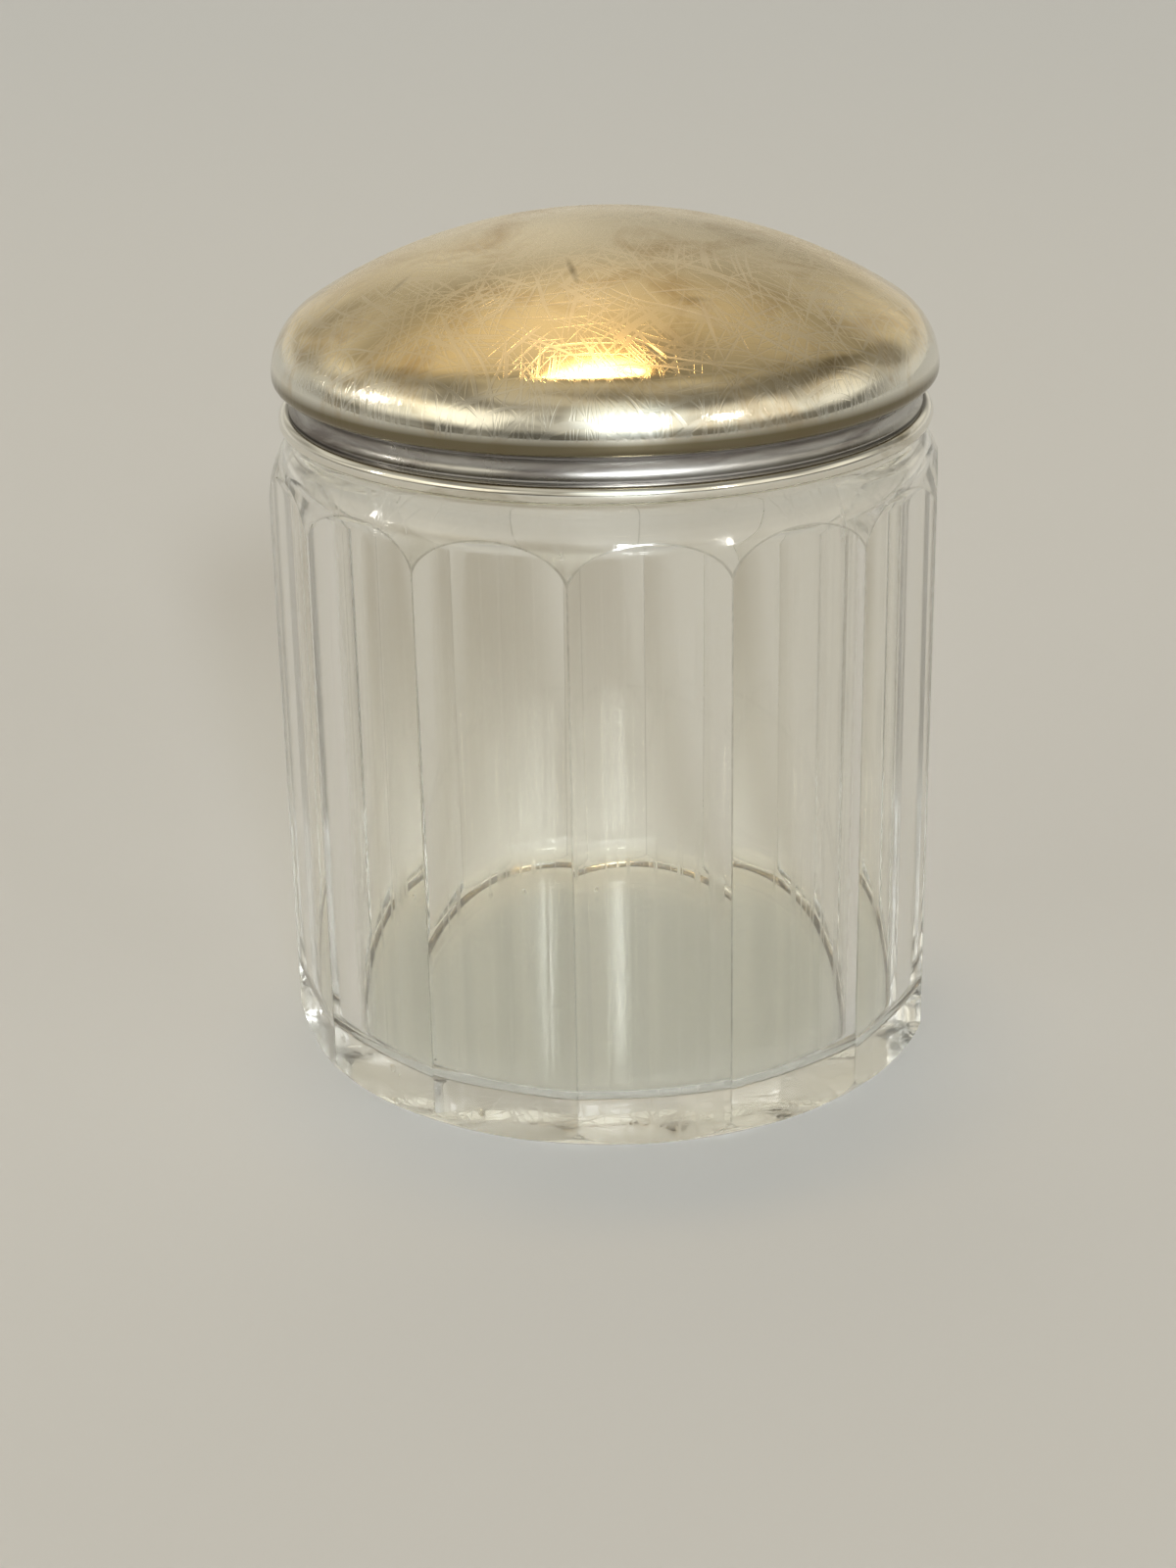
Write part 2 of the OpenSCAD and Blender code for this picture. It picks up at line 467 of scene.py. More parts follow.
def noiseAt(tree, vector, scale, detail=3.0, roughness=0.55, distortion=0.0):
    node = tree.nodes.new("ShaderNodeTexNoise")
    tree.links.new(vector, node.inputs["Vector"])
    node.inputs["Scale"].default_value = scale
    node.inputs["Detail"].default_value = detail
    node.inputs["Roughness"].default_value = roughness
    node.inputs["Distortion"].default_value = distortion
    return node.outputs["Fac"]


def flatNoise(tree, vector, scale, detail):
    node = tree.nodes.new("ShaderNodeTexNoise")
    node.noise_dimensions = "2D"
    tree.links.new(vector, node.inputs["Vector"])
    node.inputs["Scale"].default_value = scale
    node.inputs["Detail"].default_value = detail
    return node


def movedVector(tree, vector, offset, turn=(0, 0, 0), stretch=(1, 1, 1)):
    node = tree.nodes.new("ShaderNodeMapping")
    tree.links.new(vector, node.inputs["Vector"])
    node.inputs["Location"].default_value = offset
    node.inputs["Rotation"].default_value = turn
    node.inputs["Scale"].default_value = stretch
    return node.outputs["Vector"]


hairlineShape = {
    "turns": (0.25, 0.95, 1.5, 2.1, 2.75),      # radians, one layer of streaks for each
    "layerAcross": 0.11,
    "layerAlong": 0.07,
    "bendScale": 36.0,
    "bendReach": 0.010,
    "softness": 0.06,
    "patchScale": 70.0,
    "patchFrom": 0.38,
    "patchTo": 0.62,
    "patchLeast": 0.45,
}


def makeHairlines(shape):
    # fine scratches as a cloth leaves them: thin streaks that run several ways across the piece,
    # bent a little, in patches
    group = bpy.data.node_groups.new("hairlines", "ShaderNodeTree")
    newSocket(group, "Vector", "NodeSocketVector", "INPUT")
    newSocket(group, "Across", "NodeSocketFloat", "INPUT", 2000.0)
    newSocket(group, "Along", "NodeSocketFloat", "INPUT", 60.0)
    newSocket(group, "Least", "NodeSocketFloat", "INPUT", 0.68)
    newSocket(group, "Lines", "NodeSocketFloat", "OUTPUT")
    start = group.nodes.new("NodeGroupInput")
    end = group.nodes.new("NodeGroupOutput")
    bend = flatNoise(group, start.outputs["Vector"], shape["bendScale"], 1.0)
    shift = vectorNode(group, "SCALE", bend.outputs["Color"])
    shift.inputs["Scale"].default_value = shape["bendReach"]
    bent = vectorNode(group, "ADD", start.outputs["Vector"], shift.outputs[0])
    spread = group.nodes.new("ShaderNodeCombineXYZ")
    group.links.new(start.outputs["Across"], spread.inputs["X"])
    group.links.new(start.outputs["Along"], spread.inputs["Y"])
    full = mathNode(group, "ADD", start.outputs["Least"], shape["softness"])
    total = None
    for number, turn in enumerate(shape["turns"]):
        offset = (shape["layerAcross"] * number, shape["layerAlong"] * number, 0)
        turned = movedVector(group, bent.outputs[0], offset, (0, 0, turn))
        drawn = vectorNode(group, "MULTIPLY", turned, spread.outputs[0])
        streak = flatNoise(group, drawn.outputs[0], 1.0, 0.0)
        line = group.nodes.new("ShaderNodeMapRange")
        group.links.new(streak.outputs["Fac"], line.inputs["Value"])
        group.links.new(start.outputs["Least"], line.inputs["From Min"])
        group.links.new(full, line.inputs["From Max"])
        layer = line.outputs["Result"]
        total = layer if total is None else mathNode(group, "MAXIMUM", total, layer)
    patch = mapRange(group, noiseAt(group, start.outputs["Vector"], shape["patchScale"], 1.0),
                     shape["patchFrom"], shape["patchTo"], shape["patchLeast"], 1.0)
    group.links.new(mathNode(group, "MULTIPLY", total, patch), end.inputs["Lines"])
    return group


def makeSpecks():
    # scattered dots: some cells of a cell pattern hold one small round dot each
    group = bpy.data.node_groups.new("specks", "ShaderNodeTree")
    newSocket(group, "Vector", "NodeSocketVector", "INPUT")
    newSocket(group, "Scale", "NodeSocketFloat", "INPUT", 300.0)
    newSocket(group, "Size", "NodeSocketFloat", "INPUT", 0.12)
    newSocket(group, "Share", "NodeSocketFloat", "INPUT", 0.2)
    newSocket(group, "Dots", "NodeSocketFloat", "OUTPUT")
    start = group.nodes.new("NodeGroupInput")
    end = group.nodes.new("NodeGroupOutput")
    cells = group.nodes.new("ShaderNodeTexVoronoi")
    group.links.new(start.outputs["Vector"], cells.inputs["Vector"])
    group.links.new(start.outputs["Scale"], cells.inputs["Scale"])
    parts = group.nodes.new("ShaderNodeSeparateColor")
    group.links.new(cells.outputs["Color"], parts.inputs["Color"])
    dotSize = mathNode(group, "MULTIPLY", start.outputs["Size"], parts.outputs["Green"])
    inside = mathNode(group, "LESS_THAN", cells.outputs["Distance"], dotSize)
    chosen = mathNode(group, "LESS_THAN", parts.outputs["Red"], start.outputs["Share"])
    group.links.new(mathNode(group, "MULTIPLY", inside, chosen), end.inputs["Dots"])
    return group


hairlines = makeHairlines(hairlineShape)
specks = makeSpecks()


def useGroup(tree, group, vector, **values):
    node = tree.nodes.new("ShaderNodeGroup")
    node.node_tree = group
    tree.links.new(vector, node.inputs["Vector"])
    for name, value in values.items():
        node.inputs[name].default_value = value
    return node.outputs[0]


def startMaterial(name):
    material = bpy.data.materials.new(name)
    material.use_nodes = True
    tree = material.node_tree
    shader = tree.nodes["Principled BSDF"]
    place = tree.nodes.new("ShaderNodeTexCoord").outputs["Object"]
    return material, tree, shader, place


def mixColours(tree, share, first, second):
    node = tree.nodes.new("ShaderNodeMix")
    node.data_type = "RGBA"
    if isinstance(share, (int, float)):
        node.inputs["Factor"].default_value = share
    else:
        tree.links.new(share, node.inputs["Factor"])
    for socket, colour in ((node.inputs[6], first), (node.inputs[7], second)):
        if isinstance(colour, tuple):
            socket.default_value = (*colour, 1)
        else:
            tree.links.new(colour, socket)
    return node.outputs[2]


def clearWhere(tree, share, shader, colour=(1, 1, 1)):
    # the surface lets light straight through where share is 1
    clear = tree.nodes.new("ShaderNodeBsdfTransparent")
    clear.inputs["Color"].default_value = (*colour, 1)
    choose = tree.nodes.new("ShaderNodeMixShader")
    tree.links.new(share, choose.inputs[0])
    tree.links.new(shader.outputs[0], choose.inputs[1])
    tree.links.new(clear.outputs[0], choose.inputs[2])
    tree.links.new(choose.outputs[0], tree.nodes["Material Output"].inputs["Surface"])


def addBump(tree, shader, layers):
    # each layer is a pattern and its height in metres
    total = None
    for pattern, height in layers:
        raised = mathNode(tree, "MULTIPLY", pattern, height)
        total = raised if total is None else mathNode(tree, "ADD", total, raised)
    bump = tree.nodes.new("ShaderNodeBump")
    bump.inputs["Distance"].default_value = 1.0
    tree.links.new(total, bump.inputs["Height"])
    tree.links.new(bump.outputs["Normal"], shader.inputs["Normal"])


glassFinish = {
    "colour": (0.970, 0.966, 0.938),
    "footColour": (0.985, 0.968, 0.890),      # the thick foot shows the glass's own tint
    "footFrom": 3.0 * mm,
    "footTo": 5.5 * mm,
    "ior": 1.54,
    "shadowPass": (0.81, 0.815, 0.79),
    # ridges and arches, rubbed and finely chipped by use, so duller; their colour is also darkened, a
    # painted dark edge line
    "edgeShadeColour": (0.56, 0.555, 0.52),
    "edgeDull": 0.16,
    "edgeStart": 0.0015 * mm,
    "edgeReach": 0.06 * mm,
    "edgeEnd": 1.5,                           # times the reach
    "chipScale": 900.0,
    "chipFrom": 0.35,
    "chipTo": 0.60,
    "chipLeast": 0.55,
    # the hazy webs where a ridge runs up between two arches
    "webDull": 0.16,
    "webLift": 4.2 * mm,                      # above the start of the shoulder
    "webFull": 1.5 * mm,
    "webReach": 4.0 * mm,
    "webFromRidge": 0.62,
    "webScale": 260.0,
    "webFrom": 0.40,
    "webTo": 0.62,
    # wear and smears all over
    "scratches": {"Across": 1500.0, "Along": 60.0, "Least": 0.77},
    "dots": {"Scale": 300.0, "Size": 0.06, "Share": 0.10},
    "wearDull": 0.22,
    "smearScale": 55.0,
    "smearFrom": 0.62,
    "smearTo": 0.85,
    "smearDull": 0.012,
    # a slow unevenness, and waves that are long up and down
    "slowScale": 45.0,
    "slowHeight": 0.015 * mm,
    "wavyScale": 110.0,
    "wavyStretch": (1, 1, 0.12),
    "wavyHeight": 0.018 * mm,
}


def distanceInsidePanels(tree, place, jar):
    # how far a point lies behind the plane of its nearest panel, how near it is to a ridge, 0 to 1,
    # and its height
    x, y, height = splitVector(tree, place)
    step = 2 * math.pi / jar["panels"]
    around = mathNode(tree, "ARCTAN2", x, mathNode(tree, "MULTIPLY", y, -1))
    turned = mathNode(tree, "SUBTRACT", mathNode(tree, "FLOORED_MODULO", around, step), step / 2)
    flat = tree.nodes.new("ShaderNodeCombineXYZ")
    tree.links.new(x, flat.inputs["X"])
    tree.links.new(y, flat.inputs["Y"])
    radius = vectorNode(tree, "LENGTH", flat.outputs[0])
    reach = mathNode(tree, "MULTIPLY", radius.outputs["Value"], mathNode(tree, "COSINE", turned))
    behind = mathNode(tree, "SUBTRACT", jar["bodyRadius"] * math.cos(step / 2), reach)
    byRidge = mathNode(tree, "DIVIDE", mathNode(tree, "ABSOLUTE", turned), step / 2)
    return behind, byRidge, height


# a mask for the rubbed, chipped edges: it dulls them, and it darkens them as a painted dark edge line
def wornAndShadedEdges(tree, place, behind, offPanel, finish):
    near = mapRange(tree, behind, finish["edgeReach"], finish["edgeEnd"] * finish["edgeReach"], 1.0, 0.0)
    chipped = mapRange(tree, noiseAt(tree, place, finish["chipScale"], 2.0),
                       finish["chipFrom"], finish["chipTo"], finish["chipLeast"], 1.0)
    return mathNode(tree, "MULTIPLY", mathNode(tree, "MULTIPLY", offPanel, near), chipped)


def hazyWebs(tree, place, byRidge, height, offPanel, finish, jar):
    middle = jar["ledgeHeight"] - jar["shoulderDrop"] + finish["webLift"]
    away = mathNode(tree, "ABSOLUTE", mathNode(tree, "SUBTRACT", height, middle))
    web = mathNode(tree, "MULTIPLY", mapRange(tree, byRidge, finish["webFromRidge"], 1.0, 0.0, 1.0),
                   mapRange(tree, away, finish["webFull"], finish["webReach"], 1.0, 0.0))
    cloud = mapRange(tree, noiseAt(tree, place, finish["webScale"], 4.0, 0.65),
                     finish["webFrom"], finish["webTo"], 0.0, 1.0)
    return mathNode(tree, "MULTIPLY", mathNode(tree, "MULTIPLY", web, offPanel), cloud)


def makeGlassFinish(finish, jar):
    material, tree, shader, place = startMaterial("clearGlass")
    behind, byRidge, height = distanceInsidePanels(tree, place, jar)
    offPanel = mathNode(tree, "GREATER_THAN", behind, finish["edgeStart"])
    edge = wornAndShadedEdges(tree, place, behind, offPanel, finish)
    web = hazyWebs(tree, place, byRidge, height, offPanel, finish, jar)
    foot = mapRange(tree, height, finish["footFrom"], finish["footTo"], 1.0, 0.0)
    colour = mixColours(tree, foot, finish["colour"], finish["footColour"])
    # the ridges and arches get a painted dark edge line
    tree.links.new(mixColours(tree, edge, colour, finish["edgeShadeColour"]), shader.inputs["Base Color"])
    shader.inputs["IOR"].default_value = finish["ior"]
    shader.inputs["Transmission Weight"].default_value = 1.0
    lines = useGroup(tree, hairlines, place, **finish["scratches"])
    dots = useGroup(tree, specks, place, **finish["dots"])
    wear = mathNode(tree, "MULTIPLY", mathNode(tree, "MAXIMUM", lines, dots), finish["wearDull"])
    smear = mapRange(tree, noiseAt(tree, place, finish["smearScale"], 2.0, 0.6),
                     finish["smearFrom"], finish["smearTo"], 0.0, finish["smearDull"])
    dull = mathNode(tree, "ADD", mathNode(tree, "MULTIPLY", edge, finish["edgeDull"]),
                    mathNode(tree, "MULTIPLY", web, finish["webDull"]))
    tree.links.new(mathNode(tree, "ADD", mathNode(tree, "ADD", smear, wear), dull),
                   shader.inputs["Roughness"])
    drawn = movedVector(tree, place, (0, 0, 0), (0, 0, 0), finish["wavyStretch"])
    wavy = noiseAt(tree, drawn, finish["wavyScale"], 1.0)
    slow = noiseAt(tree, place, finish["slowScale"], 1.0)
    addBump(tree, shader, ((slow, finish["slowHeight"]), (wavy, finish["wavyHeight"])))
    # lamps reach what is behind the glass
    rays = tree.nodes.new("ShaderNodeLightPath")
    clearWhere(tree, rays.outputs["Is Shadow Ray"], shader, finish["shadowPass"])
    return material


# heights are in the frame, and each crevice has its height, the reach of its full painted shade and where
# it ends
silverFinishes = {
    "domeSilver": {
        "low": (0.86, 0.83, 0.73), "high": (0.90, 0.73, 0.44), "lowZ": 83.6 * mm, "highZ": 86.8 * mm,
        # the crown colour is lighter towards the top, a painted sheen
        "crown": (0.96, 0.85, 0.64), "crownLowZ": 91 * mm, "crownHighZ": 97 * mm, "hazeHighZ": 93 * mm,
        "stain": (0.62, 0.45, 0.23), "stainFrom": 0.50, "stainTo": 0.80, "stretch": (1, 1, 1),
        "roughLow": 0.05, "roughHigh": 0.10, "haze": 0.16, "waviness": 0.07 * mm, "scratch": 0.9,
        # the dark band round the hem and lower edge is a painted dark reflection, with tarnish in the
        # rolled hem
        "crevices": ((79.3 * mm, 1.6 * mm, 2.8 * mm),), "shadeAndTarnish": (0.17, 0.14, 0.08),
        # a small crease near the crown and a few knocks: centre in mm, turn in degrees, then
        # half length, half width and depth in mm
        "dents": (
            ((-1.4, -17.5, 94.8), -72, 3.4, 0.5, 0.05),
            ((12.0, -21.0, 93.2), 20, 2.2, 0.7, 0.03),
            ((-21.0, -14.0, 92.6), 60, 2.6, 0.6, 0.03),
            ((8.5, -30.0, 88.6), -35, 1.6, 0.4, 0.03),
        ),
    },
    "waistSilver": {
        # darker towards the top: a painted shade under the dome's hem
        "low": (0.58, 0.57, 0.55), "high": (0.40, 0.39, 0.38), "lowZ": 76.6 * mm, "highZ": 79 * mm,
        "stain": (0.24, 0.215, 0.21), "stainFrom": 0.42, "stainTo": 0.64, "stretch": (0.5, 0.5, 3.2),
        "roughLow": 0.22, "roughHigh": 0.46, "waviness": 0.02 * mm, "scratch": 0.0,
        # dark lines where the waist meets the wire and the dome: painted shade in the seams
        "crevices": ((76.5 * mm, 0, 0.22 * mm), (79.4 * mm, 0, 0.35 * mm)),
        "shadeAndTarnish": (0.05, 0.042, 0.04), "dents": (),
    },
    "wireSilver": {
        # lighter towards the top, a painted highlight on the round wire
        "low": (0.80, 0.77, 0.68), "high": (0.90, 0.88, 0.82), "lowZ": 74.6 * mm, "highZ": 76 * mm,
        "stain": (0.46, 0.41, 0.30), "stainFrom": 0.56, "stainTo": 0.74, "stretch": (0.6, 0.6, 2.0),
        "roughLow": 0.05, "roughHigh": 0.14, "waviness": 0.015 * mm, "scratch": 0.0,
        # dark lines at the waist and where the wire sits on the glass: painted shade and contact shadow
        "crevices": ((76.56 * mm, 0, 0.07 * mm), (74.3 * mm, 0, 0.25 * mm)),
        "shadeAndTarnish": (0.05, 0.042, 0.03), "dents": (),
    },
    "sleeveSilver": {
        "low": (0.66, 0.62, 0.55), "high": (0.66, 0.62, 0.55), "lowZ": 74 * mm, "highZ": 82 * mm,
        "stain": (0.34, 0.29, 0.24), "stainFrom": 0.45, "stainTo": 0.70, "stretch": (1, 1, 0.4),
        "roughLow": 0.28, "roughHigh": 0.45, "waviness": 0.01 * mm, "scratch": 0.0,
        "crevices": (), "shadeAndTarnish": (0, 0, 0), "dents": (),
    },
}


# what all the silver shares; scratches are cut through the tarnish, so they are lighter and less smooth
silverWear = {
    "colour": (0.95, 0.93, 0.88),
    "share": 0.42,
    "dull": 0.22,
    "depth": 0.011 * mm,
    "dots": {"Scale": 260.0, "Size": 0.06, "Share": 0.06},
    "coarse": {"Across": 1500.0, "Along": 48.0, "Least": 0.80},
    "coarseShare": 0.8,
    "fine": {"Across": 2800.0, "Along": 90.0, "Least": 0.67},
    "fineShare": 0.7,
    "fineOffset": (0.2, 0.1, 0.3),
    "fineTurn": (0, 0, 0.5),
    "hazeScale": 40.0,
    "hazeFrom": 0.35,
    "hazeTo": 0.70,
    "stainScale": 120.0,
    "waveScale": 42.0,
    "creviceShade": 0.95,
    "dentShade": 12,          # share of the painted shade and tarnish colour for each mm of depth
    "dentHeight": 3 * mm,     # how far above or below its centre a dent can act
}


def dentMask(tree, place, centre, turn, halfLength, halfWidth):
    # 1 in the middle of a long shallow hollow, 0 outside it
    local = tree.nodes.new("ShaderNodeMapping")
    local.vector_type = "TEXTURE"
    tree.links.new(place, local.inputs["Vector"])
    local.inputs["Location"].default_value = [value * mm for value in centre]
    local.inputs["Rotation"].default_value = (0, 0, math.radians(turn))
    local.inputs["Scale"].default_value = (halfLength * mm, halfWidth * mm, silverWear["dentHeight"])
    away = vectorNode(tree, "LENGTH", local.outputs["Vector"])
    return mapRange(tree, away.outputs["Value"], 0.0, 1.0, 1.0, 0.0)


def silverScratches(tree, place, share, worn):
    dots = useGroup(tree, specks, place, **worn["dots"])
    if share == 0:
        return dots
    coarse = useGroup(tree, hairlines, place, **worn["coarse"])
    moved = movedVector(tree, place, worn["fineOffset"], worn["fineTurn"])
    fine = useGroup(tree, hairlines, moved, **worn["fine"])
    scratch = mathNode(tree, "MAXIMUM", mathNode(tree, "MULTIPLY", coarse, worn["coarseShare"]),
                       mathNode(tree, "MULTIPLY", fine, worn["fineShare"]))
    return mathNode(tree, "MAXIMUM", dots, mathNode(tree, "MULTIPLY", scratch, share))


def makeSilverFinish(name, finish, worn):
    material, tree, shader, place = startMaterial(name)
    height = splitVector(tree, place)[2]
    # colour by height: on the waist the darker top is painted shade, on the wire the lighter top is a
    # painted highlight
    upward = mapRange(tree, height, finish["lowZ"], finish["highZ"], 0.0, 1.0)
    colour = mixColours(tree, upward, finish["low"], finish["high"])
    hazy = mapRange(tree, noiseAt(tree, place, worn["hazeScale"], 5.0, 0.6, 0.3),
                    worn["hazeFrom"], worn["hazeTo"], finish["roughLow"], finish["roughHigh"])
    # on the dome, a lighter colour towards the top: a painted sheen on the crown
    if "crown" in finish:
        crown = mapRange(tree, height, finish["crownLowZ"], finish["crownHighZ"], 0.0, 1.0)
        colour = mixColours(tree, crown, colour, finish["crown"])
        clouded = mapRange(tree, height, finish["highZ"], finish["hazeHighZ"], 0.0, finish["haze"])
        hazy = mathNode(tree, "ADD", hazy, clouded)
    drawn = movedVector(tree, place, (0, 0, 0), (0, 0, 0), finish["stretch"])
    stain = mapRange(tree, noiseAt(tree, drawn, worn["stainScale"], 6.0, 0.62, 0.6),
                     finish["stainFrom"], finish["stainTo"], 0.0, 1.0)
    colour = mixColours(tree, stain, colour, finish["stain"])
    wear = silverScratches(tree, place, finish["scratch"], worn)
    colour = mixColours(tree, mathNode(tree, "MULTIPLY", wear, worn["share"]), colour, worn["colour"])
    # each crevice is darkened: painted shade in the seams, and on the dome a painted dark reflection with
    # tarnish in the hem
    for level, full, reach in finish["crevices"]:
        off = mathNode(tree, "ABSOLUTE", mathNode(tree, "SUBTRACT", height, level))
        shadedShare = mapRange(tree, off, full, reach, worn["creviceShade"], 0.0)
        colour = mixColours(tree, shadedShare, colour, finish["shadeAndTarnish"])
    dents = [(dentMask(tree, place, centre, turn, halfLength, halfWidth), depth)
             for centre, turn, halfLength, halfWidth, depth in finish["dents"]]
    # each dent is darkened: painted shade in the hollow, with tarnish
    for mask, depth in dents:
        shadedShare = mathNode(tree, "MULTIPLY", mask, worn["dentShade"] * depth)
        colour = mixColours(tree, shadedShare, colour, finish["shadeAndTarnish"])
    tree.links.new(colour, shader.inputs["Base Color"])
    tree.links.new(mathNode(tree, "ADD", hazy, mathNode(tree, "MULTIPLY", wear, worn["dull"])),
                   shader.inputs["Roughness"])
    shader.inputs["Metallic"].default_value = 1.0
    waves = noiseAt(tree, place, worn["waveScale"], 2.0)
    addBump(tree, shader, [(waves, finish["waviness"]), (wear, -worn["depth"])]
            + [(mask, -depth * mm) for mask, depth in dents])
    return material


silver = {name: makeSilverFinish(name, finish, silverWear) for name, finish in silverFinishes.items()}

jarPiece = makeGlassJar(glassJar)
finishPiece(jarPiece, "jar", "glass_jar", makeGlassFinish(glassFinish, glassJar))
print("glass jar", len(jarPiece.data.polygons), "faces")

# what makes each piece, its slot, node and finish, and the widest angle that is shaded smooth
lidParts = (
    (makeLidDome, "dome_silver", "lid_dome", "domeSilver", 40),
    (makeLidWaist, "waist_silver", "lid_waist", "waistSilver", 35),
    (makeRimWire, "wire_silver", "rim_wire", "wireSilver", 35),
    (makeNeckSleeve, "sleeve_silver", "neck_sleeve", "sleeveSilver", 30),
)
for make, slot, node, finish, angle in lidParts:
    piece = make(lid)
    smoothBelow(piece, angle)
    finishPiece(piece, "lid", node, silver[finish])
    print(piece.name, len(piece.data.polygons), "faces")


studio = {
    "floorSize": 60.0,
    "floorDrop": 0.1 * mm,      # so that the glass meets air underneath, as it does on a real table
    "floorColour": (0.63, 0.63, 0.63),
    "floorRough": 0.6,
    # how bright the room is by height: dark low down, a soft bright band, then plain above
    "skyHeights": ((0.0, 0.34), (0.12, 0.24), (0.25, 0.94), (0.50, 0.84), (0.66, 0.45)),
    "skyTint": (1.0, 0.945, 0.79),
    # uneven round the room, as walls and doorways are
    "unevenScale": 2.2,
    "unevenFrom": 0.38,
    "unevenTo": 0.62,
    "unevenLeast": 0.45,
    "unevenMost": 1.15,
    # dimmer on the side behind the jar
    "farSideFrom": -0.1,
    "farSideTo": 0.55,
    "farSideShare": 0.64,
    # a pale wall low down behind the jar
    "backWall": (0.64, 0.61, 0.53),
    "backWallFrom": 0.1,
    "backWallTo": 0.7,
    "backWallFull": 0.12,
    "backWallTop": 0.25,
    # what the camera itself sees past the floor's edge
    "seenSky": (0.46, 0.435, 0.385),
}

# bright places far off in the room: azimuth from the front ridge towards +X, elevation, half width
# and half height in degrees; soft is the share of the edge that fades; squareness 2 is an oval
# and 12 nearly a square
glows = {
    "windowLeft": {
        "azimuth": 12, "elevation": 25, "halfWidth": 2.3, "halfHeight": 4.4,
        "strength": 95, "soft": 0.2, "squareness": 12, "colour": (0.93, 0.97, 1.0)},
    "windowRight": {
        "azimuth": 19, "elevation": 25, "halfWidth": 2.3, "halfHeight": 4.4,
        "strength": 95, "soft": 0.2, "squareness": 12, "colour": (0.93, 0.97, 1.0)},
    "windowWall": {
        "azimuth": 14, "elevation": 27, "halfWidth": 19, "halfHeight": 29,
        "strength": 0.8, "soft": 0.6, "squareness": 2.5, "colour": (0.85, 0.97, 1.0)},
    "warmCeiling": {
        "azimuth": -158, "elevation": 58, "halfWidth": 32, "halfHeight": 17,
        "strength": 0.55, "soft": 0.8, "squareness": 2.5, "colour": (1.0, 0.80, 0.48)},
    "sideWall": {
        "azimuth": -56, "elevation": 24, "halfWidth": 24, "halfHeight": 14,
        "strength": 0.5, "soft": 0.7, "squareness": 2.5, "colour": (1.0, 0.93, 0.68)},
    "smallWindow": {
        "azimuth": 48, "elevation": 22, "halfWidth": 1.3, "halfHeight": 3.6,
        "strength": 28, "soft": 0.2, "squareness": 12, "colour": (1.0, 0.98, 0.94)},
    "farWindow": {
        "azimuth": -82, "elevation": 22, "halfWidth": 1.8, "halfHeight": 2.9,
        "strength": 18, "soft": 0.2, "squareness": 12, "colour": (1.0, 0.98, 0.94)},
}

warmLamp = {
    "azimuth": -162,
    "elevation": 81,
    "distance": 0.9,
    "aimHeight": 50 * mm,
    "width": 0.27,
    "depth": 0.11,
    "power": 0.85,
    "colour": (1.0, 0.68, 0.30),
}


def makeFloor(setup):
    deselectAll()
    bpy.ops.mesh.primitive_plane_add(size=setup["floorSize"], location=(0, 0, -setup["floorDrop"]))
    floor = bpy.context.object
    floor.name = "floor"
    material, tree, shader = startMaterial("paleFloor")[:3]
    shader.inputs["Base Color"].default_value = (*setup["floorColour"], 1)
    shader.inputs["Roughness"].default_value = setup["floorRough"]
    # seen from below the floor is clear, so that the underside of the jar shows
    side = tree.nodes.new("ShaderNodeNewGeometry")
    rays = tree.nodes.new("ShaderNodeLightPath")
    fromBelow = mathNode(tree, "MULTIPLY", side.outputs["Backfacing"], rays.outputs["Is Camera Ray"])
    clearWhere(tree, fromBelow, shader)
    floor.data.materials.append(material)


def glowMask(tree, direction, glow):
    azimuth, elevation, halfWidth, halfHeight = (
        math.radians(glow[name]) for name in ("azimuth", "elevation", "halfWidth", "halfHeight"))
    turned = tree.nodes.new("ShaderNodeMapping")
    turned.vector_type = "TEXTURE"
    tree.links.new(direction, turned.inputs["Vector"])
    turned.inputs["Rotation"].default_value = (-elevation, 0, azimuth)
    turned.inputs["Scale"].default_value = (math.tan(halfWidth), 1, math.tan(halfHeight))
    x, y, z = splitVector(tree, turned.outputs["Vector"])
    across, up = (mathNode(tree, "POWER", mathNode(tree, "ABSOLUTE", part), glow["squareness"])
                  for part in (x, z))
    reach = mathNode(tree, "POWER", mathNode(tree, "ADD", across, up), 1 / glow["squareness"])
    ahead = mathNode(tree, "LESS_THAN", y, 0.0)
    return mathNode(tree, "MULTIPLY", ahead,
                    mapRange(tree, reach, 1 - glow["soft"], 1.0, glow["strength"], 0.0))


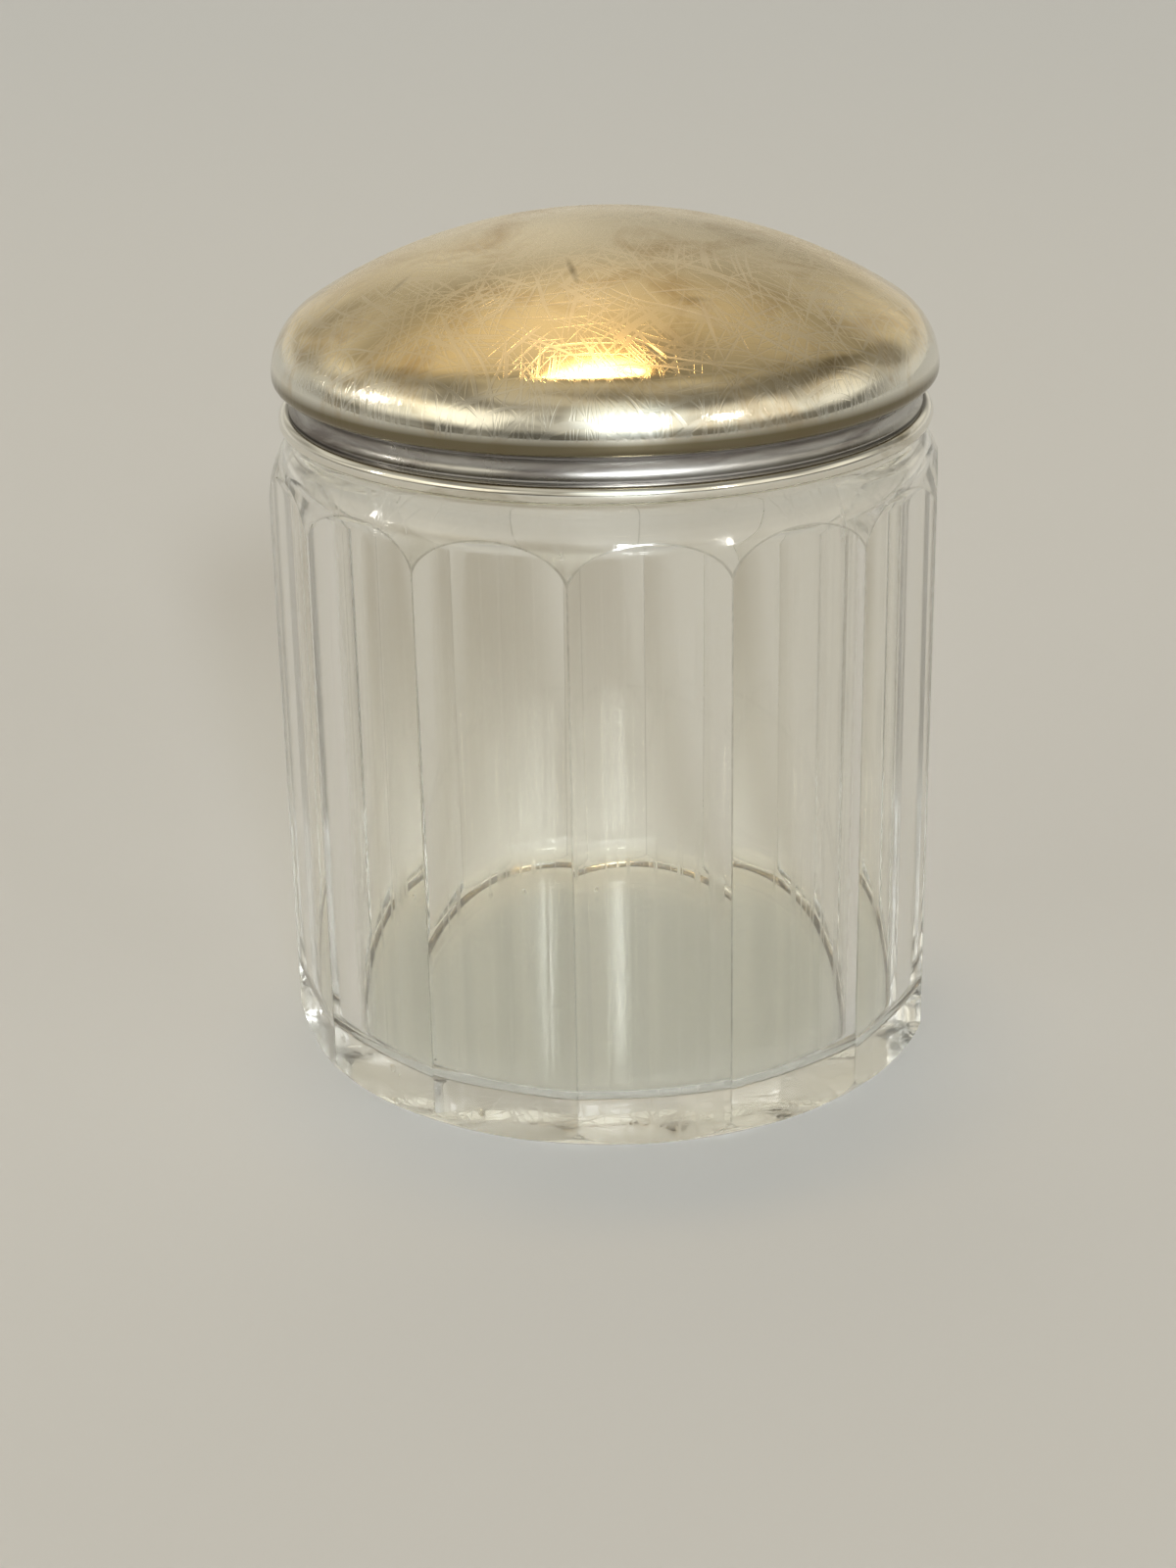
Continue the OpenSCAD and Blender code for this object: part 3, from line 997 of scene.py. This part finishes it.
def makeSky(setup):
    world = bpy.data.worlds.new("softRoom")
    world.use_nodes = True
    tree = world.node_tree
    direction = tree.nodes.new("ShaderNodeTexCoord").outputs["Generated"]
    depth, height = splitVector(tree, direction)[1:]
    bands = tree.nodes.new("ShaderNodeValToRGB")
    tree.links.new(height, bands.inputs[0])
    ramp = bands.color_ramp
    while len(ramp.elements) < len(setup["skyHeights"]):
        ramp.elements.new(0.5)
    for element, (position, level) in zip(ramp.elements, setup["skyHeights"]):
        element.position = position
        element.color = (*(level * tint for tint in setup["skyTint"]), 1)
    uneven = mapRange(tree, noiseAt(tree, direction, setup["unevenScale"], 1.0),
                      setup["unevenFrom"], setup["unevenTo"], setup["unevenLeast"], setup["unevenMost"])
    farSide = mapRange(tree, depth, setup["farSideFrom"], setup["farSideTo"], 1.0, setup["farSideShare"])
    room = vectorNode(tree, "SCALE", bands.outputs["Color"])
    tree.links.new(mathNode(tree, "MULTIPLY", uneven, farSide), room.inputs["Scale"])
    behind = mapRange(tree, depth, setup["backWallFrom"], setup["backWallTo"], 0.0, 1.0)
    lowDown = mapRange(tree, height, setup["backWallFull"], setup["backWallTop"], 1.0, 0.0)
    colour = mixColours(tree, mathNode(tree, "MULTIPLY", behind, lowDown),
                        room.outputs[0], setup["backWall"])
    for glow in glows.values():
        mask = glowMask(tree, direction, glow)
        colour = vectorNode(tree, "MULTIPLY_ADD", mask, glow["colour"], colour).outputs[0]
    rays = tree.nodes.new("ShaderNodeLightPath")
    colour = mixColours(tree, rays.outputs["Is Camera Ray"], colour, setup["seenSky"])
    tree.links.new(colour, tree.nodes["Background"].inputs["Color"])
    scene.world = world


def addLamp(name, setup):
    # azimuth from the front ridge towards +X, aimed at the middle of the jar
    middle = Vector((0, 0, setup["aimHeight"]))
    around, above = math.radians(setup["azimuth"]), math.radians(setup["elevation"])
    away = Vector((math.sin(around) * math.cos(above), -math.cos(around) * math.cos(above),
                   math.sin(above)))
    lamp = bpy.data.lights.new(name, "AREA")
    lamp.shape = "ELLIPSE"
    lamp.size, lamp.size_y = setup["width"], setup["depth"]
    lamp.energy = setup["power"]
    lamp.color = setup["colour"]
    holder = bpy.data.objects.new(name, lamp)
    scene.collection.objects.link(holder)
    holder.location = middle + away * setup["distance"]
    holder.rotation_euler = (-away).to_track_quat("-Z", "Y").to_euler()


makeFloor(studio)
makeSky(studio)
addLamp("warmLamp", warmLamp)
print("floor and lights placed")
